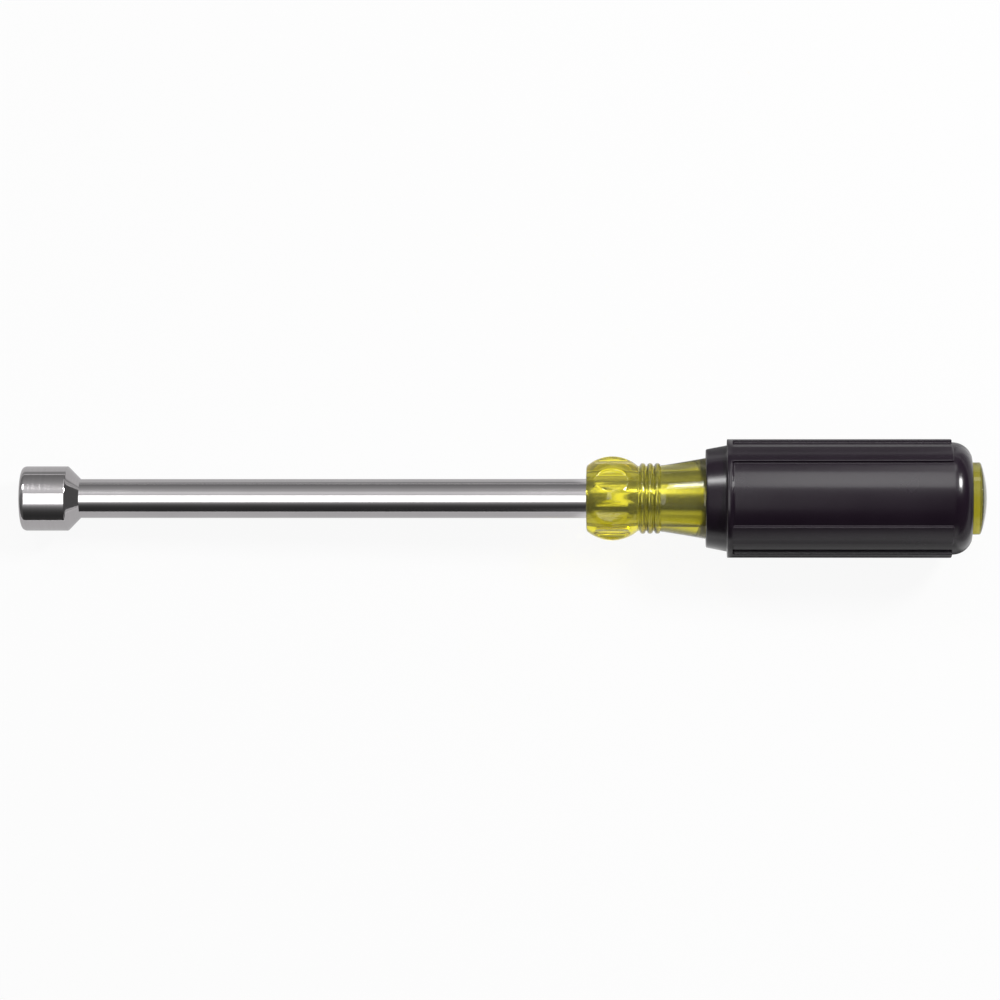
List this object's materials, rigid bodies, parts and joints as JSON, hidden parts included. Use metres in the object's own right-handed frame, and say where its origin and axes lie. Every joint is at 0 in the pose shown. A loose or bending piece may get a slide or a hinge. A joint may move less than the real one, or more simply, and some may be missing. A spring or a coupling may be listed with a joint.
{
  "type": "nut driver",
  "caption": "Hollow-shaft nut driver: chrome hex socket and tube shaft, clear yellow-green handle core with a scalloped bolster, and a black ribbed cushion grip.",
  "frame": {"origin": "centre of the socket's mouth, on the axis of the tool", "axes": "+X along the tool from the socket to the handle, +Z out of a wide plain panel of the grip, as the tool lies on a bench"},
  "size_m": [0.2594, 0.0318, 0.0318],
  "materials": {
    "socket_chrome": "bright chrome plate on forged steel",
    "shaft_chrome": "bright chrome plate on drawn tube",
    "core_acetate": "clear yellow-green moulded plastic, glossy",
    "grip_vinyl": "soft black vinyl with a satin sheen"
  },
  "bodies": {
    "root": {"socket": "socket_chrome", "hollow_shaft": "shaft_chrome", "handle_core": "core_acetate", "cushion_grip": "grip_vinyl"}
  },
  "joints": []
}
